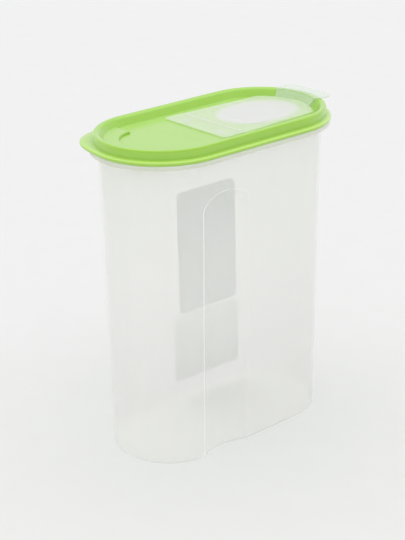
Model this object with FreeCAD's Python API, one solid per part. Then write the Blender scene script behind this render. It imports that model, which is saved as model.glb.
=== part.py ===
import FreeCAD, Part
import math
import os

from FreeCAD import Vector

# Food storage container: an upright oval tub with finger grooves, a press-on lid and a pouring flap.
# Millimetres. X runs along the long axis with the pouring end at +X, Y is the depth, Z is up.
# The origin is in the middle of the underside, on the surface that the tub stands on.

# Plan: every outline is an oval of two straight sides and two half circles
end_centre = 46.0            # from the middle to the centre of each round end

# Tub
base_half_width = 41.7       # outside, at the foot
mouth_half_width = 44.7      # outside, under the rim
tub_wall = 1.6
tub_floor = 1.8
foot_bevel = 1.4             # outer bottom edge
rim_under_height = 227.3     # underside of the tub's rim
rim_thickness = 2.7
rim_overhang = 6.5           # past the wall
rim_root_bevel = 2.0         # where the wall turns out into the rim
edge_bevel = 0.5             # broken edges of the rim and flange
collar_wall = 1.4            # upstand that the lid's rim grips
collar_height = 8.0          # above the rim

# Finger grooves, one on each long side, nearer the pull tab end
groove_half_width = 21.2
groove_past_round = 1.8      # how far the groove's edge runs on to the round end
groove_depth = 4.8
groove_top_drop = 24.7       # from the underside of the rim down to the top of the arch
groove_edge_bevel = 0.6

# Lid
seat_clearance = 0.3         # between the lid's channel and the collar, on both sides
collar_top_gap = 0.6         # above the collar
lid_wall = 1.4
lid_rim_bevel = 1.3          # the raised rim's two top edges
flange_past_rim = 0.6        # lid flange past the tub's rim
flange_thickness = 3.1
leg_clearance = 0.4          # from the tub's rim up to the lid's inner leg
floor_rise = 2.5             # from the tub's rim up to the underside of the lid's floor
floor_thickness = 1.5
recess_slope_width = 3.9     # how far the recess's sloping wall draws in on its way down
ledge_rise = 1.7             # stepped panel at the pull tab end
ledge_past_round = 9.7       # straight edge of that panel, past the start of the round end
scoop_past_round = 7.8       # centre of the round finger scoop in that panel
scoop_radius = 23.8

# Pull tab on the lid's flange, at the back corner away from the spout
tab_turn = 41.5              # degrees round the end from the back side
tab_length = 6.1             # tip, past the flange
tab_radius = 35.0
tab_blend_radius = 40.0

# Pour opening in the lid's floor, an oval near the spout end
opening_setback = 5.5        # its middle, inside the round end's centre
opening_half_width = 20.5
opening_straight = 16.0      # length of the oval's straight sides

# Pouring flap with its fixed tail, one moulding with a thin hinge between the two
hinge_margin = 11.0          # from the hinge to the pour opening
hinge_gap = 0.6              # slot under the bending bead
hinge_bead_radius = 0.5      # half-round bead on the hinge's axis, flush with the top
bead_end_gap = 2.0           # relief at each end of the bead
hinge_corner_radius = 1.0
flap_thickness = 1.5
flap_lift = 0.2              # air under the flap, so that it turns freely
flap_side_gap = 6.8          # from the flap's sides to the foot of the lid's sloping wall, at the hinge
flap_taper = 3.2             # how far each side draws in towards the spout
flap_end_gap = 1.2           # from the flap's round end to the foot of the lid's sloping wall
plug_clearance = 0.5
plug_wall = 1.4
plug_depth = 4.0             # below the flap
lip_half_width = 20.0        # wall that runs up the recess's slope at the spout end
lip_wall = 1.4
thumb_flare = 5.5            # how far each side of the thumb ledge spreads past the lip
thumb_clearance = 0.2        # above the lid's raised rim
thumb_thickness = 1.0
thumb_overhang = 6.0         # past the lid's raised rim
thumb_corner_radius = 8.0
tail_length = 19.0
tail_corner_radius = 4.0
peg_setback = 8.5            # from the hinge
peg_spacing = 36.0
peg_radius = 2.3
peg_hole_clearance = 0.1
peg_head_radius = 3.6
peg_head_height = 1.5

# Blank film labels on the back wall, beside the groove
label_thickness = 0.15
label_glue = 0.1             # adhesive between the wall and the label
label_corner_radius = 4.0
label_gap = 1.5              # between the two labels
lower_label_bottom = 15.0
lower_label_height = 54.5
lower_label_width = 64.0
lower_label_from_groove = 1.4
upper_label_height = 99.0
upper_label_width = 57.0
upper_label_from_groove = 7.4

# Heights and widths that follow from the sizes above
up = Vector(0, 0, 1)
wall_slope = (mouth_half_width - base_half_width) / rim_under_height
rim_half_width = mouth_half_width + rim_overhang
rim_top = rim_under_height + rim_thickness
collar_top = rim_top + collar_height
inner_mouth = mouth_half_width - tub_wall
collar_inner = inner_mouth + seat_clearance + lid_wall + seat_clearance
collar_outer = collar_inner + collar_wall
groove_radius = (groove_half_width ** 2 + groove_depth ** 2) / (2 * groove_depth)
groove_middle = groove_half_width - groove_past_round - end_centre
groove_edge = groove_middle + groove_half_width
groove_arch_centre = rim_under_height - groove_top_drop - groove_half_width
lid_top = collar_top + collar_top_gap + lid_wall
inner_leg_outer = collar_inner - seat_clearance
recess_half_width = inner_leg_outer - lid_wall
outer_leg_inner = collar_outer + seat_clearance
lid_rim_half_width = outer_leg_inner + lid_wall
flange_half_width = rim_half_width + flange_past_rim
leg_bottom = rim_top + leg_clearance
floor_bottom = rim_top + floor_rise
floor_top = floor_bottom + floor_thickness
floor_half_width = recess_half_width - recess_slope_width
slope_top = lid_top - lid_rim_bevel
slope_run = recess_slope_width / (slope_top - floor_top)   # across, for each millimetre up
ledge_top = floor_top + ledge_rise
opening_x = end_centre - opening_setback
hinge_x = opening_x - opening_half_width - opening_straight / 2 - hinge_margin
flap_top = floor_top + flap_thickness
flap_bottom = floor_top + flap_lift
flap_half_width = floor_half_width - flap_side_gap
flap_end_radius = floor_half_width - flap_end_gap
lip_radius = flap_end_radius + slope_run * (slope_top - flap_bottom)
thumb_half_width = lip_half_width + thumb_flare
thumb_bottom = lid_top + thumb_clearance
thumb_top = thumb_bottom + thumb_thickness
thumb_end = end_centre + lid_rim_half_width + thumb_overhang
peg_x = hinge_x - peg_setback
upper_label_bottom = lower_label_bottom + lower_label_height + label_gap
overshoot = 5.0              # how far a cutting solid runs past what it cuts


def outer_half_width(z):
    return base_half_width + wall_slope * z


def rounded_wire(corners, place):
    """Closed wire through (a, b, radius) corners, each rounded by its own radius."""
    edges = []
    starts = []
    ends = []
    arcs = []
    count = len(corners)
    for index, (a, b, radius) in enumerate(corners):
        here = Vector(a, b, 0)
        before = Vector(*corners[index - 1][:2], 0)
        after = Vector(*corners[(index + 1) % count][:2], 0)
        if radius == 0:
            starts.append(here)
            ends.append(here)
            arcs.append(None)
            continue
        back = (before - here).normalize()
        ahead = (after - here).normalize()
        half_angle = back.getAngle(ahead) / 2
        reach = radius / math.tan(half_angle)
        inward = (back + ahead).normalize()
        starts.append(here + back * reach)
        ends.append(here + ahead * reach)
        arcs.append(here + inward * (radius / math.sin(half_angle) - radius))
    points = [[place(p.x, p.y) if p else None for p in row] for row in (starts, arcs, ends)]
    for index in range(count):
        start, middle, end = (row[index] for row in points)
        if middle:
            edges.append(Part.Arc(start, middle, end).toShape())
        following = points[0][(index + 1) % count]
        if end.distanceToPoint(following) > 1e-6:
            edges.append(Part.LineSegment(end, following).toShape())
    return Part.Wire(Part.__sortEdges__(edges))


def oval_sweep(corners):
    """Solid of one section carried round the oval; a corner is (distance from the spine, z, radius)."""
    left = Part.Face(rounded_wire(corners, lambda r, z: Vector(-end_centre, r, z)))
    right = left.translated(Vector(2 * end_centre, 0, 0))
    back_side = left.extrude(Vector(2 * end_centre, 0, 0))
    front_side = back_side.mirror(Vector(0, 0, 0), Vector(0, 1, 0))
    left_end = left.revolve(Vector(-end_centre, 0, 0), up, 180)
    right_end = right.revolve(Vector(end_centre, 0, 0), up, -180)
    return back_side.fuse([front_side, left_end, right_end]).removeSplitter()


def oval_block(half_width, bottom, top):
    return oval_sweep([(0, bottom, 0), (half_width, bottom, 0), (half_width, top, 0), (0, top, 0)])


def plate(corners, bottom, top):
    """Flat plate of a plan outline with (x, y, radius) corners."""
    wire = rounded_wire(corners, lambda x, y: Vector(x, y, bottom))
    return Part.Face(wire).extrude(Vector(0, 0, top - bottom))


def rectangle(x0, x1, half_width, left_radius=0, right_radius=0):
    return [(x0, -half_width, left_radius), (x1, -half_width, right_radius),
            (x1, half_width, right_radius), (x0, half_width, left_radius)]


def groove_cutter(side, skin):
    """Round-topped finger groove that follows the wall's slope, grown by a skin; side is -1 or 1."""
    along = Vector(0, side * wall_slope, 1).normalize()

    def axis_point(z):
        return Vector(groove_middle, side * (outer_half_width(z) - groove_depth + groove_radius), z)

    foot = axis_point(-overshoot)
    head = axis_point(groove_arch_centre)
    length = foot.distanceToPoint(head)
    barrel = Part.makeCylinder(groove_radius + skin, length, foot, along)
    dome = Part.makeSphere(groove_radius + skin, head, along)
    return barrel.fuse(dome)


def groove_edges(shape):
    """Edges above the foot where the grooves meet the rest of the tub's outside."""
    tolerance = groove_radius * 1e-6
    grooves = [face for face in shape.Faces
               if abs(getattr(face.Surface, "Radius", 0) - groove_radius) < tolerance]
    others = [face for face in shape.Faces if not any(face.isSame(groove) for groove in grooves)]
    other_edges = [edge for face in others for edge in face.Edges]
    return [edge for groove in grooves for edge in groove.Edges
            if edge.BoundBox.ZMax > 2 * foot_bevel and any(edge.isSame(other) for other in other_edges)]


def build_tub():
    outside = oval_sweep([
        (0, 0, 0), (base_half_width - foot_bevel, 0, 0), (outer_half_width(foot_bevel), foot_bevel, 0),
        (outer_half_width(rim_under_height - rim_root_bevel), rim_under_height - rim_root_bevel, 0),
        (mouth_half_width + rim_root_bevel, rim_under_height, 0),
        (rim_half_width - edge_bevel, rim_under_height, 0), (rim_half_width, rim_under_height + edge_bevel, 0),
        (rim_half_width, rim_top - edge_bevel, 0), (rim_half_width - edge_bevel, rim_top, 0),
        (collar_outer, rim_top, 0), (collar_outer, collar_top, 0), (0, collar_top, 0)])
    inside = oval_sweep([
        (0, tub_floor, 0), (outer_half_width(tub_floor) - tub_wall, tub_floor, 0),
        (inner_mouth, rim_under_height, 0), (inner_mouth, rim_top, 0), (collar_inner, rim_top, 0),
        (collar_inner, collar_top + overshoot, 0), (0, collar_top + overshoot, 0)])
    for side in (-1, 1):
        outside = outside.cut(groove_cutter(side, 0))
        inside = inside.cut(groove_cutter(side, tub_wall))
    outside = outside.makeChamfer(groove_edge_bevel, groove_edges(outside))
    return outside.cut(inside)


def flange_outline(z):
    """Outer edge of the lid's flange with the pull tab blended into its back corner."""
    spine = Vector(-end_centre, 0, z)
    tab_angle = 90 + tab_turn
    tab_reach = flange_half_width + tab_length
    tab_centre_reach = tab_reach - tab_radius
    to_flange = flange_half_width + tab_blend_radius
    to_tab = tab_radius + tab_blend_radius
    spread = math.degrees(math.acos(
        (tab_centre_reach ** 2 + to_flange ** 2 - to_tab ** 2) / (2 * tab_centre_reach * to_flange)))

    def polar(angle, radius, centre=spine):
        turn = math.radians(angle)
        return centre + Vector(radius * math.cos(turn), radius * math.sin(turn), 0)

    tab_centre = polar(tab_angle, tab_centre_reach)
    tip = polar(tab_angle, tab_reach)
    blends = []
    for way in (-1, 1):
        blend_centre = polar(tab_angle + way * spread, to_flange)
        on_flange = polar(tab_angle + way * spread, flange_half_width)
        on_tab = tab_centre + (blend_centre - tab_centre).normalize() * tab_radius
        toward = ((on_flange - blend_centre) + (on_tab - blend_centre)).normalize()
        blends.append((on_flange, blend_centre + toward * tab_blend_radius, on_tab))
    first, last = blends
    right_back = Vector(end_centre, flange_half_width, z)
    right_front = Vector(end_centre, -flange_half_width, z)
    left_back = Vector(-end_centre, flange_half_width, z)
    left_front = Vector(-end_centre, -flange_half_width, z)
    edges = [
        Part.LineSegment(right_back, left_back),
        Part.Arc(left_back, polar((90 + tab_angle - spread) / 2, flange_half_width), first[0]),
        Part.Arc(*first),
        Part.Arc(first[2], tip, last[2]),
        Part.Arc(*reversed(last)),
        Part.Arc(last[0], polar((tab_angle + spread + 270) / 2, flange_half_width), left_front),
        Part.LineSegment(left_front, right_front),
        Part.Arc(right_front, Vector(end_centre + flange_half_width, 0, z), right_back)]
    return Part.Wire([edge.toShape() for edge in edges])


def build_lid():
    shell = oval_sweep([
        (0, floor_bottom, 0), (floor_half_width, floor_bottom, 0),
        (recess_half_width, slope_top - floor_thickness, 0), (recess_half_width, leg_bottom, 0),
        (inner_leg_outer, leg_bottom, 0), (inner_leg_outer, lid_top - lid_wall, 0),
        (outer_leg_inner, lid_top - lid_wall, 0), (outer_leg_inner, rim_top, 0),
        (lid_rim_half_width, rim_top, 0),
        (lid_rim_half_width, lid_top - lid_rim_bevel, 0), (lid_rim_half_width - lid_rim_bevel, lid_top, 0),
        (recess_half_width + lid_rim_bevel, lid_top, 0), (recess_half_width, slope_top, 0),
        (floor_half_width, floor_top, 0), (0, floor_top, 0)])
    flange = Part.Face(flange_outline(rim_top)).extrude(Vector(0, 0, flange_thickness))
    level_edges = [edge for edge in flange.Edges if edge.BoundBox.ZLength < edge_bevel]
    flange = flange.makeChamfer(edge_bevel, level_edges)
    flange = flange.cut(oval_block(outer_leg_inner, rim_top - overshoot, lid_top))
    far = -end_centre - flange_half_width
    tab_side = plate(rectangle(far, -end_centre - ledge_past_round, flange_half_width), floor_bottom, lid_top)
    scoop = Part.makeCylinder(scoop_radius, lid_top, Vector(-end_centre - scoop_past_round, 0, floor_top))
    lid = shell.fuse([flange, ledge_panel().common(tab_side).cut(scoop)])
    lid = lid.cut(opening_block(0, floor_bottom - overshoot, lid_top))
    for y in peg_places():
        lid = lid.cut(Part.makeCylinder(peg_radius + peg_hole_clearance, lid_top, Vector(peg_x, y, 0)))
    return lid.removeSplitter()


def ledge_panel():
    """Stepped panel over the whole floor, let into the middle of the floor and of the sloping wall."""
    sunk = floor_thickness / 2
    rise = ledge_rise + sunk
    reach = floor_half_width + slope_run * rise
    return oval_sweep([
        (0, floor_top - sunk, 0), (floor_half_width, floor_top - sunk, 0),
        (reach, ledge_top, 0), (0, ledge_top, 0)])


def opening_block(inset, bottom, top):
    """Block of the pour opening's oval, drawn in by an inset."""
    half_width = opening_half_width - inset
    left = opening_x - opening_straight / 2
    right = opening_x + opening_straight / 2
    edges = [
        Part.LineSegment(Vector(left, -half_width, bottom), Vector(right, -half_width, bottom)),
        Part.Arc(Vector(right, -half_width, bottom), Vector(right + half_width, 0, bottom),
                 Vector(right, half_width, bottom)),
        Part.LineSegment(Vector(right, half_width, bottom), Vector(left, half_width, bottom)),
        Part.Arc(Vector(left, half_width, bottom), Vector(left - half_width, 0, bottom),
                 Vector(left, -half_width, bottom))]
    wire = Part.Wire([edge.toShape() for edge in edges])
    return Part.Face(wire).extrude(Vector(0, 0, top - bottom))


def peg_places():
    return (-peg_spacing / 2, peg_spacing / 2)


def end_disc(radius, bottom, top):
    return Part.makeCylinder(radius, top - bottom, Vector(end_centre, 0, bottom))


def hinge_rod(half_length):
    """Rod of the hinge bead's radius along the hinge's axis, which lies in the flap's top face."""
    return Part.makeCylinder(hinge_bead_radius, 2 * half_length, Vector(hinge_x, -half_length, flap_top),
                             Vector(0, 1, 0))


def flap_plate():
    """Flat plate with gently tapering sides, from the hinge to its round end."""
    start = hinge_x + hinge_gap / 2
    far = end_centre + flap_end_radius
    far_half_width = flap_half_width - flap_taper
    outline = [(start, -flap_half_width, hinge_corner_radius), (far, -far_half_width, 0),
               (far, far_half_width, 0), (start, flap_half_width, hinge_corner_radius)]
    inner_part = plate(rectangle(start, end_centre, flap_half_width), flap_bottom, flap_top)
    return plate(outline, flap_bottom, flap_top).common(
        inner_part.fuse(end_disc(flap_end_radius, flap_bottom, flap_top)))


def flap_lip():
    """Lip that runs up beside the recess's sloping wall, then upright to the thumb ledge."""
    foot = flap_end_radius - lip_wall
    head = lip_radius - lip_wall
    section = [(foot, flap_bottom, 0), (flap_end_radius, flap_bottom, 0), (lip_radius, slope_top, 0),
               (lip_radius, thumb_top, 0), (head, thumb_top, 0), (head, slope_top + lip_wall, 0),
               (foot, flap_top, 0)]
    face = Part.Face(rounded_wire(section, lambda r, z: Vector(end_centre, -r, z)))
    ring = face.revolve(Vector(end_centre, 0, 0), up, 180)
    return ring.common(plate(rectangle(end_centre, thumb_end, lip_half_width), flap_bottom, thumb_top))


def thumb_ledge():
    """Flat ledge that spreads from the lip's head out over the lid's raised rim."""
    inside = lip_radius - lip_wall
    root = end_centre + math.sqrt(inside ** 2 - lip_half_width ** 2)
    outline = [(root, -lip_half_width, 0), (thumb_end, -thumb_half_width, thumb_corner_radius),
               (thumb_end, thumb_half_width, thumb_corner_radius), (root, lip_half_width, 0)]
    return plate(outline, thumb_bottom, thumb_top).cut(end_disc(inside, thumb_bottom, thumb_top))


def build_flap():
    ring = opening_block(plug_clearance, flap_bottom - plug_depth, flap_top)
    ring = ring.cut(opening_block(plug_clearance + plug_wall, flap_bottom - plug_depth, flap_bottom))
    flap = flap_plate().fuse([ring, flap_lip(), thumb_ledge()]).removeSplitter()
    return flap.cut(hinge_rod(flap_half_width + overshoot))


def build_tail():
    outline = rectangle(hinge_x - tail_length, hinge_x - hinge_gap / 2, flap_half_width, tail_corner_radius,
                        hinge_corner_radius)
    tail = plate(outline, floor_top, flap_top).cut(hinge_rod(flap_half_width + overshoot))
    for y in peg_places():
        shank = Part.makeCylinder(peg_radius, flap_top - floor_bottom, Vector(peg_x, y, floor_bottom))
        head_place = Vector(peg_x, y, floor_bottom - peg_head_height)
        head = Part.makeCylinder(peg_head_radius, peg_head_height, head_place)
        tail = tail.fuse([shank, head])
    return tail.removeSplitter()


def build_hinge_bead():
    rod = hinge_rod(flap_half_width - bead_end_gap)
    below = plate(rectangle(hinge_x - overshoot, hinge_x + overshoot, flap_half_width), floor_top, flap_top)
    return rod.common(below)


def build_label(left, right, bottom, top):
    """Film label that follows the back wall's slope and the start of its round end."""
    low = bottom - overshoot
    high = top + overshoot
    low_width = outer_half_width(low) + label_glue
    high_width = outer_half_width(high) + label_glue
    skin = oval_sweep([
        (low_width, low, 0), (low_width + label_thickness, low, 0),
        (high_width + label_thickness, high, 0), (high_width, high, 0)])
    radius = label_corner_radius
    corners = [(left, bottom, radius), (right, bottom, radius), (right, top, radius), (left, top, radius)]
    patch = Part.Face(rounded_wire(corners, lambda x, z: Vector(x, 0, z)))
    return skin.common(patch.extrude(Vector(0, 2 * mouth_half_width, 0)))


def build_upper_label():
    left = groove_edge + upper_label_from_groove
    top = upper_label_bottom + upper_label_height
    return build_label(left, left + upper_label_width, upper_label_bottom, top)


def build_lower_label():
    left = groove_edge + lower_label_from_groove
    top = lower_label_bottom + lower_label_height
    return build_label(left, left + lower_label_width, lower_label_bottom, top)


os.makedirs("parts", exist_ok=True)
pieces = {
    "tub": build_tub(),
    "lid": build_lid(),
    "pour_flap": build_flap(),
    "flap_tail": build_tail(),
    "hinge_web": build_hinge_bead(),
    "upper_label": build_upper_label(),
    "lower_label": build_lower_label(),
}
for name, shape in pieces.items():
    print(name, shape.isValid(), len(shape.Solids), round(shape.Volume, 1))
    shape.exportStep(f"parts/{name}.step")
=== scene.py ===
import math

import bmesh
import bpy
from mathutils import Matrix, Vector
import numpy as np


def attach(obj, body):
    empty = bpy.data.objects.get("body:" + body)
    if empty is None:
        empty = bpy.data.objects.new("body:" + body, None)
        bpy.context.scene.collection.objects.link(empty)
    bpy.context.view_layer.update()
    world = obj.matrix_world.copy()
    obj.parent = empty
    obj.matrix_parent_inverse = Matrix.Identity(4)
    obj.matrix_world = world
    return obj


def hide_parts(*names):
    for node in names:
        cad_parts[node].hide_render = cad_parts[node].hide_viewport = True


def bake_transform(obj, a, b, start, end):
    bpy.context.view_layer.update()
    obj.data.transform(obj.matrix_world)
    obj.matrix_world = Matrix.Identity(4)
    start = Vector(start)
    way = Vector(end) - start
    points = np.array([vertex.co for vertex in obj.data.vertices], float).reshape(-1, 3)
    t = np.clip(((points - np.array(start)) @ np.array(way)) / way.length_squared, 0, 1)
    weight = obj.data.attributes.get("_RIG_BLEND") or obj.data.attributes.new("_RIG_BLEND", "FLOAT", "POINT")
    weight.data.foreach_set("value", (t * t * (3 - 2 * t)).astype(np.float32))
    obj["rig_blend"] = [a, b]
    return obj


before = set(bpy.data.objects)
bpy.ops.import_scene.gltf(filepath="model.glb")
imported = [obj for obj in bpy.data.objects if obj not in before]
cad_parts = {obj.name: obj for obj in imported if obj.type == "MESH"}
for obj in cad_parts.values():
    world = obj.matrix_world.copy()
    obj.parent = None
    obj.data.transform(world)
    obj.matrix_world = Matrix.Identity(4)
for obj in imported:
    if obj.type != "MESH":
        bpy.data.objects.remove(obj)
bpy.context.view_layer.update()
print("frame loaded:", ", ".join(sorted(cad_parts)))

# Pieces are drawn in millimetres and brought to the frame's metres at the end
mm = 0.001
near = 0.01                   # points closer than this count as one

# Sizes that several pieces share, in millimetres
plan = {
    "endCentre": 46.0,        # centre of each round end, from the middle
    "endSteps": 48,           # facets round each end
    "mouthHalfWidth": 44.7,   # tub's outside under its rim
    "rimUnder": 226.7,        # underside of the tub's rim
    "rimTop": 230.0,          # the lid's flange rests here
    "lidTop": 240.0,
    "slopeTop": 238.7,        # top of the recess's sloping wall
    "lidFloor": 234.0,        # top of the lid's floor
    "openingX": 40.5,         # middle of the pour opening
    "hingeX": 1.0,            # line that the flap turns about
    "hingeClear": 1.0,        # edges nearer to it than this stay square
    "flapTop": 235.5,
}
sideLength = 2 * plan["endCentre"]
endLength = math.pi * plan["mouthHalfWidth"]
roundLength = 2 * (sideLength + endLength)


# Shaping helpers

def onOval(u, halfWidth, z):
    # u runs round the oval: front side, pouring end, back side, pull tab end
    centre = plan["endCentre"]
    u = (u + centre) % roundLength
    if u < sideLength:
        return Vector((u - centre, -halfWidth, z))
    u -= sideLength
    if u < endLength:
        turn = math.pi * u / endLength - math.pi / 2
        return Vector((centre + halfWidth * math.cos(turn), halfWidth * math.sin(turn), z))
    u -= endLength
    if u < sideLength:
        return Vector((centre - u, halfWidth, z))
    turn = math.pi * (u - sideLength) / endLength + math.pi / 2
    return Vector((-centre + halfWidth * math.cos(turn), halfWidth * math.sin(turn), z))


def roundedPath(corners, steps=5):
    # Each corner is (a, b, radius); a corner of radius 0 stays sharp
    points = []
    for index, (a, b, radius) in enumerate(corners):
        here = Vector((a, b))
        if radius == 0:
            points.append(here)
            continue
        back = (Vector(corners[index - 1][:2]) - here).normalized()
        ahead = (Vector(corners[(index + 1) % len(corners)][:2]) - here).normalized()
        half = back.angle(ahead) / 2
        centre = here + (back + ahead).normalized() * (radius / math.sin(half))
        arm = here + back * (radius / math.tan(half)) - centre
        turn = math.copysign(math.pi - 2 * half, back.cross(ahead) * -1)
        for step in range(steps + 1):
            points.append(centre + Matrix.Rotation(turn * step / steps, 2) @ arm)
    return points


def onlyOf(kind, geometry):
    return [item for item in geometry if isinstance(item, kind)]


def extrudeEdges(bm, edges, move):
    made = bmesh.ops.extrude_edge_only(bm, edges=edges)["geom"]
    bmesh.ops.translate(bm, vec=Vector(move), verts=onlyOf(bmesh.types.BMVert, made))
    return onlyOf(bmesh.types.BMEdge, made)


def followPath(bm, edges, path):
    # Rows of faces from the edges along a path of (depth, height) points
    for before, after in zip(path, path[1:]):
        edges = extrudeEdges(bm, edges, (0, after.x - before.x, after.y - before.y))


def levelEdges(bm, axis, value):
    # Open edges that lie at one value of an axis
    return [edge for edge in bm.edges if len(edge.link_faces) < 2
            and all(abs(vert.co[axis] - value) < near for vert in edge.verts)]


def drawLoop(bm, points, z):
    verts = [bm.verts.new((point[0], point[1], z)) for point in points]
    return [bm.edges.new((vert, verts[index - 1])) for index, vert in enumerate(verts)]


def raisePlate(bm, points, bottom, top):
    # Closed plate of an outline
    edges = drawLoop(bm, points, bottom)
    face = bmesh.ops.contextual_create(bm, geom=edges)["faces"]
    made = bmesh.ops.extrude_face_region(bm, geom=face, use_keep_orig=True)["geom"]
    bmesh.ops.translate(bm, vec=(0, 0, top - bottom), verts=onlyOf(bmesh.types.BMVert, made))


def softenEdges(bm, width, above, segments, sharperThan=35):
    # Rounds the sharp edges that lie above a height, but not those that meet the hinge
    bmesh.ops.recalc_face_normals(bm, faces=bm.faces)
    sharp = [edge for edge in bm.edges if edge.is_manifold and all(vert.co.z > above for vert in edge.verts)
             and any(abs(vert.co.x - plan["hingeX"]) > plan["hingeClear"] for vert in edge.verts)
             and edge.calc_face_angle(0) > math.radians(sharperThan)]
    bmesh.ops.bevel(bm, geom=sharp, offset=width, offset_type="OFFSET", segments=segments, profile=0.5,
                    affect="EDGES", material=-1, clamp_overlap=True)


def joinMeshes(bm, other):
    # Copies another bmesh in, with its materials
    mesh = bpy.data.meshes.new("joined")
    other.to_mesh(mesh)
    other.free()
    bm.from_mesh(mesh)
    bpy.data.meshes.remove(mesh)


def finishPiece(name, bm, materials, sharpAngle=40):
    bmesh.ops.remove_doubles(bm, verts=bm.verts, dist=near / 10)
    bmesh.ops.recalc_face_normals(bm, faces=bm.faces)
    bmesh.ops.scale(bm, vec=(mm, mm, mm), verts=bm.verts)
    mesh = bpy.data.meshes.new(name)
    bm.to_mesh(mesh)
    bm.free()
    mesh.shade_smooth()
    mesh.set_sharp_from_angle(angle=math.radians(sharpAngle))
    for material in materials:
        mesh.materials.append(material)
    piece = bpy.data.objects.new(name, mesh)
    piece.modifiers.new("evenNormals", "WEIGHTED_NORMAL").keep_sharp = True
    bpy.context.scene.collection.objects.link(piece)
    print("piece made:", name, len(mesh.polygons), "faces")
    return piece


# Material helpers

cloudSpan = (0.3, 0.7)        # the noise seldom leaves these values


def hexColour(code):
    channels = [int(code[place:place + 2], 16) / 255 for place in (1, 3, 5)]
    linear = [c / 12.92 if c <= 0.04045 else ((c + 0.055) / 1.055) ** 2.4 for c in channels]
    return (*linear, 1.0)


def addNode(tree, kind, settings=None, links=None):
    node = tree.nodes.new(kind)
    for name, value in (settings or {}).items():
        if isinstance(name, int) or name in node.inputs:
            node.inputs[name].default_value = value
        else:
            setattr(node, name, value)
    for name, source in (links or {}).items():
        tree.links.new(source, node.inputs[name])
    return node


def startMaterial(name):
    material = bpy.data.materials.new(name)
    material.use_nodes = True
    material.node_tree.nodes.clear()
    return material, material.node_tree


def addCloud(tree, tones, size, detail, place):
    # Noise of a size in millimetres, and the tone that drifts with it from one to the other
    noise = addNode(tree, "ShaderNodeTexNoise", {"Scale": 1 / (size * mm), "Detail": detail},
                    {"Vector": place})
    tone = addNode(tree, "ShaderNodeMix", {"data_type": "RGBA", 6: hexColour(tones[0]),
                                           7: hexColour(tones[1])}, {0: noise.outputs[0]})
    return noise.outputs[0], tone.outputs[2]


def mouldedPlastic(name, look):
    # Moulded polyolefin: a faint cloudy tone, a satin skin with fine tool grain, and few reflections
    material, tree = startMaterial(name)
    place = addNode(tree, "ShaderNodeTexCoord").outputs["Object"]
    cloud, tone = addCloud(tree, look["tones"], look["cloudSize"], 3.0, place)
    if "lowTone" in look:
        tone = addLowTone(tree, look, place, tone)
    mask = addWhiteMask(tree, look, place)
    tone = addNode(tree, "ShaderNodeMix", {"data_type": "RGBA", 7: hexColour(look["whiteTone"])},
                   {0: mask, 6: tone})
    smoother, rougher = look["roughness"]
    sheen = addNode(tree, "ShaderNodeMapRange", {"From Min": cloudSpan[0], "From Max": cloudSpan[1],
                                                 "To Min": smoother, "To Max": rougher}, {"Value": cloud})
    grain = addNode(tree, "ShaderNodeTexNoise", {"Scale": 1 / (look["grainSize"] * mm), "Detail": 2.0},
                    {"Vector": place})
    bump = addNode(tree, "ShaderNodeBump", {"Strength": look["grainStrength"],
                                            "Distance": look["grainDepth"] * mm},
                   {"Height": grain.outputs[0]})
    links = {"Base Color": tone.outputs[2], "Roughness": sheen.outputs[0], "Normal": bump.outputs[0]}
    if "haze" in look:
        links["Alpha"] = addHaze(tree, look, mask)
    shader = addNode(tree, "ShaderNodeBsdfPrincipled", look["shader"], links)
    addNode(tree, "ShaderNodeOutputMaterial", links={"Surface": shader.outputs[0]})
    return material


def addLowTone(tree, look, place, tone):
    # Another tone comes in from one height down to a lower one
    high, low = look["lowFade"]
    height = addNode(tree, "ShaderNodeSeparateXYZ", links={0: place}).outputs["Z"]
    share = addNode(tree, "ShaderNodeMapRange", {"From Min": high * mm, "From Max": low * mm},
                    {"Value": height})
    return addNode(tree, "ShaderNodeMix", {"data_type": "RGBA", 7: hexColour(look["lowTone"])},
                   {0: share.outputs[0], 6: tone}).outputs[2]


def addWhiteMask(tree, look, place):
    # 1 where the plastic is whiter: inside a soft oval and its mirror images, or where the mesh carries a
    #                                painted highlight
    endless = 1000            # the oval's height, so that it is the same all the way up
    if "oval" not in look:
        return addNode(tree, "ShaderNodeAttribute", {"attribute_name": "paintedHighlight"}).outputs["Fac"]
    x, y, halfLength, halfWidth = look["oval"]
    mirrored = addNode(tree, "ShaderNodeVectorMath", {"operation": "ABSOLUTE"}, {0: place})
    fitted = addNode(tree, "ShaderNodeMapping", {"vector_type": "TEXTURE", "Location": (x * mm, y * mm, 0),
                                                 "Scale": (halfLength * mm, halfWidth * mm, endless)},
                     {"Vector": mirrored.outputs[0]})
    inside = addNode(tree, "ShaderNodeTexGradient", {"gradient_type": "SPHERICAL"},
                     {"Vector": fitted.outputs[0]})
    mask = addNode(tree, "ShaderNodeMapRange", {"interpolation_type": "SMOOTHSTEP",
                                                "From Max": look["ovalEdge"]},
                   {"Value": inside.outputs["Fac"]})
    return mask.outputs[0]


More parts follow.
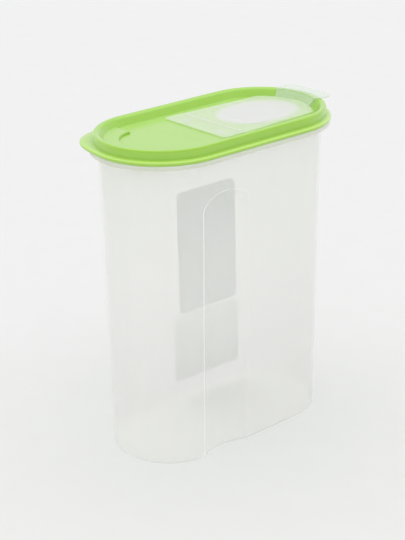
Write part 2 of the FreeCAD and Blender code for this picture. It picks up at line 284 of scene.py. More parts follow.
def addHaze(tree, look, mask):
    # Opacity: most of it on the face that is looked at, a little on the face behind, more where the mask
    # is white. Lamp light passes more easily than sight, because the plastic scatters most of it onward.
    behind = addNode(tree, "ShaderNodeNewGeometry").outputs["Backfacing"]
    plain = addNode(tree, "ShaderNodeMapRange", {"To Min": look["haze"][0], "To Max": look["haze"][1]},
                    {"Value": behind})
    haze = addNode(tree, "ShaderNodeMix", {"data_type": "FLOAT", 3: look["whiteHaze"]},
                   {0: mask, 2: plain.outputs[0]})
    ray = addNode(tree, "ShaderNodeLightPath")
    lit = addNode(tree, "ShaderNodeMath", {"operation": "MAXIMUM"},
                  {0: ray.outputs["Is Shadow Ray"], 1: ray.outputs["Is Diffuse Ray"]})
    kept = addNode(tree, "ShaderNodeMapRange", {"To Min": 1.0, "To Max": 1 - look["lightThrough"]},
                   {"Value": lit.outputs[0]})
    return addNode(tree, "ShaderNodeMath", {"operation": "MULTIPLY"},
                   {0: haze.outputs[0], 1: kept.outputs[0]}).outputs[0]


# Natural plastic: a milky wall with a soft sheen, through which the labels and the far side show dimly
naturalLook = {
    "tones": ("#f5f5f2", "#f0f1ec"),
    # tone of the painted highlight along the groove's rounded edge
    "whiteTone": "#fcfcfa",
    "lowTone": "#ecece9",     # painted shade: a little greyer towards the foot
    "lowFade": (150.0, 0.0),  # between these heights
    "cloudSize": 26.0,
    "grainSize": 2.5,         # real grain is finer; drawn as coarse as it needs to show
    "grainStrength": 0.02,
    "grainDepth": 0.05,
    "roughness": (0.28, 0.34),
    "haze": (0.42, 0.08),     # opacity of the face looked at and of the face behind it
    "whiteHaze": 0.85,        # opacity along the painted highlight, where it is whitest
    "lightThrough": 0.95,     # share of the opacity that lamp light doesn't meet
    "shader": {"IOR": 1.49},
}
naturalPolypropylene = mouldedPlastic("naturalPolypropyleneMoulded", naturalLook)
# The rim is thicker, so it lets less through; its darker, greener tone is painted shade under the lid and
# painted green light from it, so it reads as a dim band under it
rimPolypropylenePaintedShade = mouldedPlastic("naturalPolypropyleneThickRimPaintedShade", {
    **naturalLook, "tones": ("#dce2cf", "#d5dbc8"), "haze": (0.7, 0.2)})
# The foot's round edge is thicker and more opaque, and its darker tone is painted shade where it meets the
# floor, so it reads as a thin darker line on the floor
footPolypropylenePaintedShade = mouldedPlastic("naturalPolypropyleneFootPaintedShade", {
    **naturalLook, "tones": ("#d2d3ce", "#cccdc8"), "lowTone": "#cfd0cb", "haze": (0.7, 0.2)})

# Green lid plastic: an even fresh colour with a soft gloss, and a painted highlight drawn as a pale line
# along the flange's thin edge
greenLook = {
    "tones": ("#a3d44e", "#9bce42"),
    "whiteTone": "#bde670",   # tone of the flange's painted highlight, standing in for light through its thin edge
    "cloudSize": 30.0,
    "grainSize": 2.5,
    "grainStrength": 0.02,
    "grainDepth": 0.06,
    "roughness": (0.28, 0.34),
    "shader": {"IOR": 1.45, "Specular IOR Level": 0.3,
               "Coat Weight": 1.0, "Coat Roughness": 0.18, "Coat IOR": 1.5},
}
greenPolyethylene = mouldedPlastic("greenPolyethyleneMoulded", greenLook)

# Clear plastic of the flap: a thin glossy veil that pales the green under it
clearLook = {
    "tones": ("#e4e8e0", "#dfe4da"),
    "whiteTone": "#d8d9d7",
    "cloudSize": 22.0,
    "grainSize": 2.5,
    "grainStrength": 0.02,
    "grainDepth": 0.05,
    "roughness": (0.28, 0.34),
    "haze": (0.56, 0.03),
    "whiteHaze": 0.85,
    "lightThrough": 0.9,
    "shader": {"IOR": 1.49, "Coat Weight": 0.6, "Coat Roughness": 0.15, "Coat IOR": 1.5},
}
# The flap shows a soft white oval over the pour opening, where its plug stands behind it
flapPolypropylene = mouldedPlastic("clearPolypropyleneFrostedOval", {
    **clearLook, "oval": (43.5, 0, 37.0, 27.0), "ovalEdge": 0.22})
# The plates' narrow sides are clearer, so that no dark line shows round them
sidePolypropylene = mouldedPlastic("clearPolypropylenePlateSide", {**clearLook, "haze": (0.14, 0.03)})
# The lip and thumb ledge look thinner, and their greener tone is painted green light from the rim below them
lipPolypropylene = mouldedPlastic("clearPolypropyleneThinLipPaintedGreen", {
    **clearLook, "tones": ("#d0e0cb", "#cbdcc5"), "haze": (0.56, 0.06)})
# The tail shows its pegs as soft white spots
tailPolypropylene = mouldedPlastic("clearPolypropylenePegSpots", {
    **clearLook, "oval": (7.5, 18.0, 5.0, 5.0), "ovalEdge": 1.0, "whiteHaze": 0.64})
# Painted highlight: two white hairlines across the flap along the hinge bead
hingeHighlightPolypropylene = mouldedPlastic("clearPolypropyleneHingeHighlight", clearLook)


def filmLabel(name, look):
    # Matt blank film with a soft tone drift
    material, tree = startMaterial(name)
    place = addNode(tree, "ShaderNodeTexCoord").outputs["Object"]
    tone = addCloud(tree, look["tones"], look["driftSize"], 2.0, place)[1]
    tone = addLowTone(tree, look, place, tone)
    shader = addNode(tree, "ShaderNodeBsdfPrincipled", {"Roughness": 0.55, "IOR": 1.5},
                     {"Base Color": tone})
    addNode(tree, "ShaderNodeOutputMaterial", links={"Surface": shader.outputs[0]})
    return material


# Grey film reads as a dim block through the cloudy wall, paler towards its lower edge
greyFilm = filmLabel("greyFilmLabelMatt", {
    "tones": ("#c0c8cc", "#b2bcc0"), "lowTone": "#cfd4d5", "lowFade": (145.0, 104.0), "driftSize": 40.0})
# White film all but melts into the wall in front of it
paleFilm = filmLabel("paleFilmLabelMatt", {
    "tones": ("#f9fbfa", "#f6f9f8"), "lowTone": "#f3f6f5", "lowFade": (90.0, 45.0), "driftSize": 40.0})
print("materials made")


# Tub: drafted oval wall with a finger groove on each long side, flat foot, rim and collar
tub = {
    "baseHalfWidth": 41.7,
    "wall": 1.6,
    "floor": 1.8,
    "footRadius": 2.4,
    "floorRadius": 2.0,
    "footLine": 1.2,          # height of the foot's painted shade
    "lowRow": 6.0,            # the wall's rows start here, above the foot
    "topRow": 222.0,          # and end here, under the rim
    "grooveMiddle": -26.6,
    "grooveHalfWidth": 21.2,
    "grooveDepth": 4.8,
    "grooveShares": (0.0, 0.2, 0.4, 0.6, 0.75, 0.87, 0.95),   # rows across half of it, closer by its edge
    "archCentre": 189.5,
    "archRise": 0.62,         # height of the arch, as a share of a half circle's
    "archSteps": 28,
    "wallRows": 8,
    "creaseHalf": 0.35,       # half width of the groove's rounded edge
    "creaseFade": 0.4,        # its painted highlight fades out over this
    "frontHighlight": 0.9,        # how strong the painted highlight is on the front groove's near edge
    "backHighlight": 0.15,
    "farHighlight": 0.02,         # share of the painted highlight left on the groove's other edge
    "margin": 3.0,            # flat wall drawn with each groove
    "inset": 8.0,             # flat ring of the foot and floor, before the middle is filled
    "rimReach": 6.5,          # rim past the wall
    "rimRootRadius": 2.0,
    "rimRadius": 0.5,
    "collarOut": 1.8,
    "collarIn": 0.4,
    "collarTop": 238.0,
    "collarRadius": 0.6,
    "collarRootOut": 0.3,
    "collarRootIn": 0.4,
    "rimSteps": 4,            # facets of each rounding
}


def grooveDepth(across, height):
    # How far the groove's round floor lies behind the wall
    depth = tub["grooveDepth"]
    half = tub["grooveHalfWidth"]
    radius = (half ** 2 + depth ** 2) / (2 * depth)
    away = math.hypot(across, max(0.0, height - tub["archCentre"]))
    return math.sqrt(radius ** 2 - away ** 2) - radius + depth if away < half else 0.0


def addGroove(bm, middle, white):
    # Section from the groove's middle outwards, carried up, over the arch and down the other side
    half = tub["grooveHalfWidth"]
    stops = [half * share for share in tub["grooveShares"]]
    crease = tub["creaseHalf"]
    stops += [half - crease, half + crease, half + crease + tub["creaseFade"], half + tub["margin"]]
    verts = [bm.verts.new((middle + stop, 0, tub["lowRow"])) for stop in stops]
    edges = [bm.edges.new(pair) for pair in zip(verts, verts[1:])]
    row = (tub["archCentre"] - tub["lowRow"]) / tub["wallRows"]
    for _ in range(tub["wallRows"]):
        edges = extrudeEdges(bm, edges, (0, 0, row))
    ends = list({vert for edge in edges for vert in edge.verts})
    spun = bmesh.ops.spin(bm, geom=edges + ends, cent=(middle, 0, tub["archCentre"]), axis=(0, 1, 0),
                          angle=-math.pi, steps=tub["archSteps"])["geom_last"]
    edges = onlyOf(bmesh.types.BMEdge, spun)
    for _ in range(tub["wallRows"]):
        edges = extrudeEdges(bm, edges, (0, 0, -row))
    # Flat wall over the arch
    reach = half + tub["margin"]
    arch = [edge for edge in bm.edges if len(edge.link_faces) == 1 and all(
        vert.co.z > tub["archCentre"] - near
        and abs(math.hypot(vert.co.x - middle, vert.co.z - tub["archCentre"]) - reach) < near
        for vert in edge.verts)]
    made = bmesh.ops.extrude_edge_only(bm, edges=arch)["geom"]
    for vert in onlyOf(bmesh.types.BMVert, made):
        vert.co.z = tub["topRow"]
    bmesh.ops.remove_doubles(bm, verts=bm.verts, dist=near / 10)
    paintedHighlight = bm.verts.layers.float["paintedHighlight"]
    for vert in bm.verts:
        across = vert.co.x - middle
        if abs(across) < reach + near:
            vert.co.y = grooveDepth(across, vert.co.z)
            away = math.hypot(across, max(0.0, vert.co.z - tub["archCentre"]))
            # Painted highlight along the groove's rounded edge, strongest on its near edge and fading
            # towards the far one
            if abs(away - half) < crease + near:
                vert[paintedHighlight] = white * tub["farHighlight"] ** max(0.0, across / half)
            if tub["archCentre"] < vert.co.z < tub["topRow"] - near:
                vert.co.z = tub["archCentre"] + tub["archRise"] * (vert.co.z - tub["archCentre"])


def addWallStrip(bm, start, end):
    # Plain wall from one groove round the end to the other
    count = math.ceil((end - start) / (endLength / plan["endSteps"]))
    edges = levelEdges(bm, 0, start)
    for _ in range(count):
        edges = extrudeEdges(bm, edges, ((end - start) / count, 0, 0))


def tubHalfWidth(z):
    share = min(max(z / plan["rimUnder"], 0.0), 1.0)
    return tub["baseHalfWidth"] + (plan["mouthHalfWidth"] - tub["baseHalfWidth"]) * share


def buildTub():
    # Drawn flat: x along the wall, y into the wall, z up. Then rolled up.
    bm = bmesh.new()
    bm.verts.layers.float.new("paintedHighlight")
    reach = tub["grooveHalfWidth"] + tub["margin"]
    front = tub["grooveMiddle"]
    back = sideLength / 2 + endLength + plan["endCentre"] - front
    addGroove(bm, front, tub["frontHighlight"])
    addWallStrip(bm, front + reach, back - reach)
    addGroove(bm, back, tub["backHighlight"])
    addWallStrip(bm, back + reach, front - reach + roundLength)
    bmesh.ops.remove_doubles(bm, verts=bm.verts, dist=near / 10)
    outer = bm.faces[:]
    inner = bmesh.ops.duplicate(bm, geom=outer)["geom"]
    innerVerts = {vert for face in onlyOf(bmesh.types.BMFace, inner) for vert in face.verts}
    bmesh.ops.translate(bm, vec=(0, tub["wall"], 0), verts=list(innerVerts))
    for vert in innerVerts:
        vert[bm.verts.layers.float["paintedHighlight"]] = 0.0
    lowEdges = levelEdges(bm, 2, tub["lowRow"])
    innerLow = [edge for edge in lowEdges if edge.verts[0] in innerVerts]
    outerLow = [edge for edge in lowEdges if edge.verts[0] not in innerVerts]
    outerTop = [edge for edge in levelEdges(bm, 2, tub["topRow"]) if edge.verts[0] not in innerVerts]
    wall = tub["wall"]
    followPath(bm, outerLow, roundedPath([
        (0, tub["lowRow"], 0), (0, 0, tub["footRadius"]), (tub["inset"], 0, 0)]))
    followPath(bm, innerLow, roundedPath([
        (wall, tub["lowRow"], 0), (wall, tub["floor"], tub["floorRadius"]),
        (tub["inset"], tub["floor"], 0)]))
    # Out under the rim, up, over the collar and down to the inside of the wall
    followPath(bm, outerTop, roundedPath([
        (0, tub["topRow"], 0),
        (0, plan["rimUnder"], tub["rimRootRadius"]),
        (-tub["rimReach"], plan["rimUnder"], tub["rimRadius"]),
        (-tub["rimReach"], plan["rimTop"], tub["rimRadius"]),
        (-tub["collarOut"], plan["rimTop"], tub["collarRootOut"]),
        (-tub["collarOut"], tub["collarTop"], tub["collarRadius"]),
        (-tub["collarIn"], tub["collarTop"], tub["collarRadius"]),
        (-tub["collarIn"], plan["rimTop"], tub["collarRootIn"]),
        (wall, plan["rimTop"], tub["rimRadius"]),
        (wall, tub["topRow"], 0)], tub["rimSteps"]))
    for vert in bm.verts:
        vert.co = onOval(vert.co.x, tubHalfWidth(vert.co.z) - vert.co.y, vert.co.z)
    bmesh.ops.remove_doubles(bm, verts=bm.verts, dist=near / 10)
    for level in (0, tub["floor"]):
        bmesh.ops.contextual_create(bm, geom=levelEdges(bm, 2, level))
    # The rim takes the material with painted shade and green light, the foot's edge the one with painted
    # shade
    for face in bm.faces:
        height = face.calc_center_median().z
        if height > plan["rimUnder"] - near:
            face.material_index = 1
        elif near < height < tub["footLine"]:
            face.material_index = 2
    piece = finishPiece("tubShell", bm, [
        naturalPolypropylene, rimPolypropylenePaintedShade, footPolypropylenePaintedShade])
    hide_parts("tub")
    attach(piece, "container")


buildTub()


# Lid: raised rim over the collar, flange with a pull tab, floor with the pour opening, stepped grip panel
lid = {
    "floorHalfWidth": 39.5,   # foot of the recess's sloping wall
    "floorStrip": 2.0,        # ring of floor drawn with the rim
    "floorRadius": 0.8,
    "innerWall": 43.4,
    "outerWall": 48.2,
    "rimRadius": 1.6,         # rounding of the raised rim's outer edge
    "rimRadiusIn": 4.5,
    "channelIn": 44.8,
    "channelOut": 46.8,
    "channelTop": 238.6,
    "channelRadius": 0.4,
    "legBottom": 230.4,
    "floorUnder": 232.5,
    "rootRadius": 0.3,        # small inside corners
    "flangeReach": 51.8,
    "flangeTop": 233.1,
    "flangeFall": 0.4,        # its top falls by this much each way from the mean height
    "flangeRadius": 1.2,
    "paleFrom": 0.1,          # share of the flange's reach where its painted highlight starts
    "tabLength": 6.1,
    "tabTurn": 41.5,          # degrees round the end from the back side
    "tabPlain": 0.7,          # how little of the flange's painted highlight the tab takes
    "tabSpread": 45.0,        # degrees from its tip to where it meets the flange
    "openingHalfWidth": 20.5,
    "openingStraight": 16.0,
    "ledgeEdge": -55.7,       # straight edge of the grip panel
    "ledgeTop": 235.7,
    "ledgeRadius": 1.1,
    "ledgeFacets": 4,
    "ledgeSunk": 0.4,         # how far it is let into the floor and wall
    "scoopCentre": -53.8,
    "scoopRadius": 23.8,
}
# Across, for each millimetre up the sloping wall
slopeRun = (lid["innerWall"] - lid["floorHalfWidth"]) / (plan["slopeTop"] - plan["lidFloor"])


def tabShare(u):
    # 1 at the tab's tip, 0 on the plain flange
    start = sideLength + endLength + sideLength / 2
    turn = math.degrees(math.pi * (u - start) / endLength)
    away = abs(turn - lid["tabTurn"]) / lid["tabSpread"]
    return math.cos(math.pi / 2 * away) ** 2 if away < 1 else 0.0


def ovalLoop(halfWidth, straight, middle, steps):
    # Points of an upright-sided oval about (middle, 0)
    points = []
    for side in (1, -1):
        for step in range(steps + 1):
            turn = math.pi * step / steps - math.pi / 2
            points.append((middle + side * (straight / 2 + halfWidth * math.cos(turn)),
                           side * halfWidth * math.sin(turn)))
    return points


def arcPoints(centre, radius, first, last, steps):
    turns = [math.radians(first + (last - first) * step / steps) for step in range(steps + 1)]
    return [(centre + radius * math.cos(turn), radius * math.sin(turn)) for turn in turns]


def addLedge(bm):
    # Raised panel with a round finger scoop
    sunk = lid["ledgeSunk"]
    centre = -plan["endCentre"]
    edge = lid["ledgeEdge"]
    outerRadius = lid["floorHalfWidth"] + slopeRun * (lid["ledgeTop"] - plan["lidFloor"]) + sunk
    wallTurn = math.degrees(math.acos((edge - centre) / outerRadius))
    scoopTurn = math.degrees(math.acos((edge - lid["scoopCentre"]) / lid["scoopRadius"]))
    points = arcPoints(centre, outerRadius, wallTurn, 360 - wallTurn, plan["endSteps"])
    points += arcPoints(lid["scoopCentre"], lid["scoopRadius"], 360 - scoopTurn, scoopTurn,
                        plan["endSteps"])
    raisePlate(bm, points, plan["lidFloor"] - sunk, lid["ledgeTop"])
    softenEdges(bm, lid["ledgeRadius"], plan["lidFloor"], lid["ledgeFacets"])
    # The underside stays inside the sloping wall
    for vert in bm.verts:
        away = Vector((vert.co.x - centre, vert.co.y))
        if vert.co.z < plan["lidFloor"] and away.length > lid["floorHalfWidth"]:
            away *= lid["floorHalfWidth"] / away.length
            vert.co.x = centre + away.x
            vert.co.y = away.y


def buildLid():
    bm = bmesh.new()
    paintedHighlight = bm.verts.layers.float.new("paintedHighlight")
    addLedge(bm)
    ledgeVerts = set(bm.verts)
    # Rim and flange, drawn flat with y as the distance from the middle line, then rolled up
    floorEdge = lid["floorHalfWidth"] - lid["floorStrip"]
    fall = lid["flangeFall"]
    slopeEnd = lid["innerWall"] + slopeRun * (plan["lidTop"] - plan["slopeTop"])
    slopeUnder = lid["floorUnder"] + plan["slopeTop"] - plan["lidFloor"]
    path = roundedPath([
        (floorEdge, plan["lidFloor"], 0),
        (lid["floorHalfWidth"], plan["lidFloor"], lid["floorRadius"]),
        (slopeEnd, plan["lidTop"], lid["rimRadiusIn"]),
        (lid["outerWall"], plan["lidTop"], lid["rimRadius"]),
        (lid["outerWall"], lid["flangeTop"] + fall, lid["rootRadius"]),
        (lid["flangeReach"], lid["flangeTop"] - fall, lid["flangeRadius"]),
        (lid["flangeReach"], plan["rimTop"], lid["flangeRadius"]),
        (lid["channelOut"], plan["rimTop"], lid["rootRadius"]),
        (lid["channelOut"], lid["channelTop"], lid["channelRadius"]),
        (lid["channelIn"], lid["channelTop"], lid["channelRadius"]),
        (lid["channelIn"], lid["legBottom"], lid["channelRadius"]),
        (lid["innerWall"], lid["legBottom"], lid["channelRadius"]),
        (lid["innerWall"], slopeUnder, lid["rootRadius"]),
        (lid["floorHalfWidth"], lid["floorUnder"], lid["floorRadius"]),
        (floorEdge, lid["floorUnder"], 0)])
    steps = 2 * plan["endSteps"]
    endStarts = (plan["endCentre"], plan["endCentre"] + sideLength + endLength)
    stops = [start + end * endLength / steps for start in endStarts for end in range(steps + 1)]
    stops.append(stops[0] + roundLength)
    verts = [bm.verts.new((stop, path[0].x, path[0].y)) for stop in stops]
    followPath(bm, [bm.edges.new(pair) for pair in zip(verts, verts[1:])], path)
    for vert in bm.verts:
        if vert in ledgeVerts:
            continue
        reach = vert.co.y
        share = max(0.0, reach - lid["outerWall"]) / (lid["flangeReach"] - lid["outerWall"])
        # Painted highlight on the flange's thin edge, weaker on the tab
        if share > lid["paleFrom"] and vert.co.z > lid["flangeTop"] - lid["flangeRadius"]:
            vert[paintedHighlight] = 1 - lid["tabPlain"] * tabShare(vert.co.x)
        vert.co = onOval(vert.co.x, reach + share * lid["tabLength"] * tabShare(vert.co.x), vert.co.z)
    bmesh.ops.remove_doubles(bm, verts=bm.verts, dist=near / 10)
    # Floor with the pour opening
    opening = ovalLoop(lid["openingHalfWidth"], lid["openingStraight"], plan["openingX"], plan["endSteps"])
    topEdges = levelEdges(bm, 2, plan["lidFloor"])
    underEdges = levelEdges(bm, 2, lid["floorUnder"])
    mouth = drawLoop(bm, opening, plan["lidFloor"])
    mouthUnder = extrudeEdges(bm, mouth, (0, 0, lid["floorUnder"] - plan["lidFloor"]))
    bmesh.ops.triangle_fill(bm, use_beauty=True, edges=topEdges + mouth)
    bmesh.ops.triangle_fill(bm, use_beauty=True, edges=underEdges + mouthUnder)
    piece = finishPiece("lidCover", bm, [greenPolyethylene])
    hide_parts("lid")
    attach(piece, "lid")


buildLid()


# Pouring flap with its fixed tail: one clear moulding in the real thing, bent along a thin hinge
flap = {
    "thickness": 1.3,
    "hingeGap": 0.3,
    "halfWidth": 32.7,
    "taper": 3.2,             # each side draws in towards the spout
    "endRadius": 38.3,
    "endSteps": 40,
    "cornerSteps": 8,
    "lipWall": 1.4,
    "lipHalfWidth": 20.0,
    "thumbUnder": 240.2,
    "thumbTop": 241.2,
    "thumbEnd": 100.2,
    "thumbHalfWidth": 25.5,   # at its outer end; it spreads from the lip
    "thumbRadius": 8.0,
    "plugInset": 0.5,         # plug ring inside the pour opening
    "plugWall": 1.4,
    "plugDepth": 4.0,
    "sunk": 0.2,              # how far one part of the moulding runs into another
    "tailEnd": -18.0,
    "tailRadius": 4.0,
    "tailHingeRadius": 1.0,
    "tailGap": 0.02,          # keeps its underside off the lid's floor
    "softEdge": 0.6,          # rounding of the top edges, as a share of the plate
    "softFacets": 3,
    "uprightBelow": 0.5,      # a face whose normal rises less than this is a side
    "pegX": -7.5,
    "pegHalfSpacing": 18.0,
    "pegRadius": 2.3,
    "pegHeight": 2.4,
    "pegSides": 32,
    "pegHeadRadius": 3.6,
    "pegHeadHeight": 1.5,
    "beadRadius": 0.5,
    "beadSteps": 12,
    "beadHalfLength": 30.7,
    "beadHighlight": (10.5, 28.0),   # its painted highlight stretches, from the middle
}


def markSides(bm, under):
    # Upright sides of a plate take the second material
    bmesh.ops.recalc_face_normals(bm, faces=bm.faces)
    for face in bm.faces:
        if abs(face.normal.z) < flap["uprightBelow"] and face.calc_center_median().z > under:
            face.material_index = 1


def flapOutline():
    # Tapering sides from the hinge, then the round end
    start = plan["hingeX"] + flap["hingeGap"]
    half = flap["halfWidth"]
    farHalf = half - flap["taper"]
    turn = math.degrees(math.asin(farHalf / flap["endRadius"]))
    end = arcPoints(plan["endCentre"], flap["endRadius"], -turn, turn, flap["endSteps"])
    return [(start, half), (start, -half)] + end


def addLip(bm):
    # Section of the lip swept round the spout end, open where it meets the plate and the thumb ledge
    centre = plan["endCentre"]
    bottom = plan["flapTop"] - flap["thickness"]
    foot = flap["endRadius"]
    head = foot + slopeRun * (plan["slopeTop"] - bottom)
    wall = flap["lipWall"]
    turn = math.asin(flap["lipHalfWidth"] / head)
    outside = ((foot, bottom), (head, plan["slopeTop"]), (head, flap["thumbUnder"]))
    inside = ((foot - wall, plan["flapTop"]), (head - wall, plan["slopeTop"] + wall),
              (head - wall, flap["thumbUnder"]))
    for section in (outside, inside):
        verts = [bm.verts.new((centre + radius * math.cos(turn), -radius * math.sin(turn), z))
                 for radius, z in section]
        edges = [bm.edges.new(pair) for pair in zip(verts, verts[1:])]
        bmesh.ops.spin(bm, geom=edges + verts, cent=(centre, 0, 0), axis=(0, 0, 1), angle=2 * turn,
                       steps=flap["endSteps"])
    # Ends of the lip
    ends = [edge for edge in bm.edges if len(edge.link_faces) == 1
            and abs(edge.verts[0].co.z - edge.verts[1].co.z) > near]
    for side in (-1, 1):
        bmesh.ops.bridge_loops(bm, edges=[edge for edge in ends if edge.verts[0].co.y * side > 0])
    return head - wall


def buildFlap():
    bm = bmesh.new()
    top = plan["flapTop"]
    lipInside = addLip(bm)
    # Thumb ledge out over the lid's rim
    half = flap["thumbHalfWidth"]
    turn = math.degrees(math.asin(flap["lipHalfWidth"] / lipInside))
    root = arcPoints(plan["endCentre"], lipInside, turn, -turn, flap["endSteps"])
    corners = [(*root[-1], 0), (flap["thumbEnd"], -half, flap["thumbRadius"]),
               (flap["thumbEnd"], half, flap["thumbRadius"]), (*root[0], 0)]
    thumb = root[:-1] + [tuple(point) for point in roundedPath(corners, flap["cornerSteps"])][:-1]
    for outline, under, over in ((thumb, flap["thumbUnder"], flap["thumbTop"]),
                                 (flapOutline(), top - flap["thickness"], top)):
        plate = bmesh.new()
        raisePlate(plate, outline, under, over)
        softenEdges(plate, flap["softEdge"] * (over - under), under + near, flap["softFacets"])
        joinMeshes(bm, plate)
    # Plug ring that fits the pour opening
    for inset in (flap["plugInset"], flap["plugInset"] + flap["plugWall"]):
        loop = ovalLoop(lid["openingHalfWidth"] - inset, lid["openingStraight"], plan["openingX"],
                        plan["endSteps"])
        drawLoop(bm, loop, top - flap["thickness"] + flap["sunk"])
    rings = [edge for edge in bm.edges if not edge.link_faces]
    bmesh.ops.bridge_loops(bm, edges=rings)
    ringFaces = list({face for edge in rings for face in edge.link_faces})
    made = bmesh.ops.extrude_face_region(bm, geom=ringFaces)["geom"]
    bmesh.ops.translate(bm, vec=(0, 0, -flap["plugDepth"] - flap["sunk"]),
                        verts=onlyOf(bmesh.types.BMVert, made))
    markSides(bm, top - flap["thickness"])
    for face in bm.faces:
        if face.calc_center_median().z > top + near:
            face.material_index = 2
    piece = finishPiece("pourFlap", bm, [flapPolypropylene, sidePolypropylene, lipPolypropylene])
    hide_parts("pour_flap")
    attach(piece, "flap")


buildFlap()


def buildTail():
    bm = bmesh.new()
    half = flap["halfWidth"]
    end = plan["hingeX"] - flap["hingeGap"]
    corners = [(flap["tailEnd"], -half, flap["tailRadius"]), (end, -half, flap["tailHingeRadius"]),
               (end, half, flap["tailHingeRadius"]), (flap["tailEnd"], half, flap["tailRadius"])]
    bottom = plan["lidFloor"] + flap["tailGap"]
    raisePlate(bm, roundedPath(corners, flap["cornerSteps"]), bottom, plan["flapTop"])
    softenEdges(bm, flap["softEdge"] * flap["thickness"], bottom + near, flap["softFacets"])
    # Two pegs through the lid's floor, each with a head under it
    under = lid["floorUnder"]
    peg = (flap["pegRadius"], under - flap["sunk"], flap["pegHeight"])
    head = (flap["pegHeadRadius"], under - flap["pegHeadHeight"], flap["pegHeadHeight"])
    for side in (-1, 1):
        for radius, base, height in (peg, head):
            place = (flap["pegX"], side * flap["pegHalfSpacing"], base + height / 2)
            bmesh.ops.create_cone(bm, cap_ends=True, segments=flap["pegSides"], radius1=radius,
                                  radius2=radius, depth=height, matrix=Matrix.Translation(place))
    markSides(bm, plan["lidFloor"])
    piece = finishPiece("flapTail", bm, [tailPolypropylene, sidePolypropylene])
    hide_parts("flap_tail")
    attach(piece, "lid")


buildTail()


def buildHingeBead():
    # Half-round bead, flush with the top, that bends between the tail and the flap
    bm = bmesh.new()
    paintedHighlight = bm.verts.layers.float.new("paintedHighlight")
    radius = flap["beadRadius"]
    half = flap["beadHalfLength"]
    start = bm.verts.new((plan["hingeX"] - radius, -half, plan["flapTop"]))
    bmesh.ops.spin(bm, geom=[start], cent=(plan["hingeX"], 0, plan["flapTop"]), axis=(0, 1, 0),
                   angle=-math.pi, steps=flap["beadSteps"])
    faces = bmesh.ops.contextual_create(bm, geom=bm.edges[:])["faces"]
    inner, outer = flap["beadHighlight"]
    stops = (-half, -outer, -inner, inner, outer, half)
    for index, (before, after) in enumerate(zip(stops, stops[1:])):
        made = bmesh.ops.extrude_face_region(bm, geom=faces, use_keep_orig=index == 0)["geom"]
        faces = onlyOf(bmesh.types.BMFace, made)
        bmesh.ops.translate(bm, vec=(0, after - before, 0), verts=onlyOf(bmesh.types.BMVert, made))
    for vert in bm.verts:
        # Painted highlight on two stretches of the bead
        vert[paintedHighlight] = float(inner - near < abs(vert.co.y) < outer + near)
    piece = finishPiece("hingeBead", bm, [hingeHighlightPolypropylene])
    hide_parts("hinge_web")
    height = plan["flapTop"] * mm
    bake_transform(piece, "lid", "flap", start=((plan["hingeX"] - radius) * mm, 0, height),
             end=((plan["hingeX"] + radius) * mm, 0, height))


buildHingeBead()


# The labels keep their CAD shape
for node, film in (("upper_label", greyFilm), ("lower_label", paleFilm)):
    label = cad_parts[node]
    label.data.materials.clear()
    label.data.materials.append(film)
print("labels dressed")


# Camera at the photograph's viewpoint
view = {
    "place": (-657.8, -747.3, 534.5),   # millimetres
    "right": (0.7526, -0.6584, -0.0135),
    "up": (0.2612, 0.2796, 0.9239),
    "focalPixels": 1459.9,
    "imageHeight": 540,
    "sensor": 36.0,
}


def addCamera():
    right = Vector(view["right"]).normalized()
    back = right.cross(Vector(view["up"])).normalized()
    up = back.cross(right)
    data = bpy.data.cameras.new("photoCamera")
    data.sensor_width = view["sensor"]
    data.lens = view["focalPixels"] / view["imageHeight"] * view["sensor"]
    camera = bpy.data.objects.new("photoCamera", data)
    turn = Matrix((right, up, back)).transposed().to_4x4()
    camera.matrix_world = Matrix.Translation(Vector(view["place"]) * mm) @ turn
    bpy.context.scene.collection.objects.link(camera)
    bpy.context.scene.camera = camera


addCamera()
print("camera set")


# Pale studio: wide soft light from all round, and one wide lamp straight above
studio = {
    "background": "#efefef",
    "darkSide": "#585858",    # what the polished faces mirror from the camera's side
    "brightWay": (0.65, 0.76, 0.0),     # towards the pale wall that they mirror
    "wallEdge": 0.3,          # half width of the change between the two
    "skyStrength": 0.85,
    "lampStrength": 1.05,
    "lampFrom": (0.0, 0.0, 1.0),
    "lampAngle": 90.0,        # degrees across, for soft shadows
    "floorTones": ("#e2e2e2", "#dfdfdf"),   # show as the background's colour in this light
    "fibreSize": 30.0,
    "floorSize": 12.0,        # metres
}


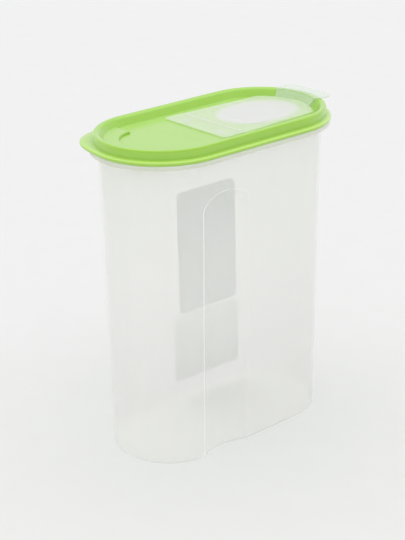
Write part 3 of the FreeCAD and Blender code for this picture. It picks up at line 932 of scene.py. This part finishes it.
def addWorld():
    world = bpy.data.worlds.new("paleStudio")
    bpy.context.scene.world = world
    world.use_nodes = True
    tree = world.node_tree
    tree.nodes.clear()
    ray = addNode(tree, "ShaderNodeLightPath")
    light = addNode(tree, "ShaderNodeBackground", {"Color": (1, 1, 1, 1),
                                                   "Strength": studio["skyStrength"]})
    plain = addNode(tree, "ShaderNodeBackground", {"Color": hexColour(studio["background"]),
                                                   "Strength": 1.0})
    # Polished faces mirror a pale wall behind the object and a darker room on the camera's side
    way = addNode(tree, "ShaderNodeTexCoord").outputs["Generated"]
    toWall = addNode(tree, "ShaderNodeVectorMath", {"operation": "DOT_PRODUCT", 1: studio["brightWay"]},
                     {0: way})
    edge = studio["wallEdge"]
    share = addNode(tree, "ShaderNodeMapRange", {"From Min": -edge, "From Max": edge},
                    {"Value": toWall.outputs[1]})
    room = addNode(tree, "ShaderNodeMix", {"data_type": "RGBA", 6: hexColour(studio["darkSide"]),
                                           7: hexColour(studio["background"])}, {0: share.outputs[0]})
    mirrored = addNode(tree, "ShaderNodeBackground", {"Strength": 1.0}, {"Color": room.outputs[2]})
    lit = addNode(tree, "ShaderNodeMixShader",
                  links={0: ray.outputs["Is Glossy Ray"], 1: light.outputs[0], 2: mirrored.outputs[0]})
    seen = addNode(tree, "ShaderNodeMath", {"operation": "MAXIMUM"},
                   {0: ray.outputs["Is Camera Ray"], 1: ray.outputs["Is Transmission Ray"]})
    both = addNode(tree, "ShaderNodeMixShader",
                   links={0: seen.outputs[0], 1: lit.outputs[0], 2: plain.outputs[0]})
    addNode(tree, "ShaderNodeOutputWorld", links={"Surface": both.outputs[0]})


def addLamp():
    lamp = bpy.data.lights.new("softLamp", "SUN")
    lamp.energy = studio["lampStrength"]
    lamp.angle = math.radians(studio["lampAngle"])
    lampObject = bpy.data.objects.new("softLamp", lamp)
    lampObject.rotation_euler = Vector(studio["lampFrom"]).to_track_quat("Z", "Y").to_euler()
    bpy.context.scene.collection.objects.link(lampObject)


def addFloor():
    bm = bmesh.new()
    bmesh.ops.create_grid(bm, x_segments=1, y_segments=1, size=studio["floorSize"] / 2)
    mesh = bpy.data.meshes.new("studioFloor")
    bm.to_mesh(mesh)
    bm.free()
    floor = bpy.data.objects.new("studioFloor", mesh)
    bpy.context.scene.collection.objects.link(floor)
    # Matt paper: an even pale ground that takes a faint shadow
    material, tree = startMaterial("paleFloorPaper")
    place = addNode(tree, "ShaderNodeTexCoord").outputs["Object"]
    tone = addCloud(tree, studio["floorTones"], studio["fibreSize"], 2.0, place)[1]
    shader = addNode(tree, "ShaderNodeBsdfPrincipled", {"Roughness": 0.9, "Specular IOR Level": 0.0},
                     {"Base Color": tone})
    addNode(tree, "ShaderNodeOutputMaterial", links={"Surface": shader.outputs[0]})
    mesh.materials.append(material)


addWorld()
addLamp()
addFloor()
bpy.context.scene.view_settings.view_transform = "Standard"
print("studio made")
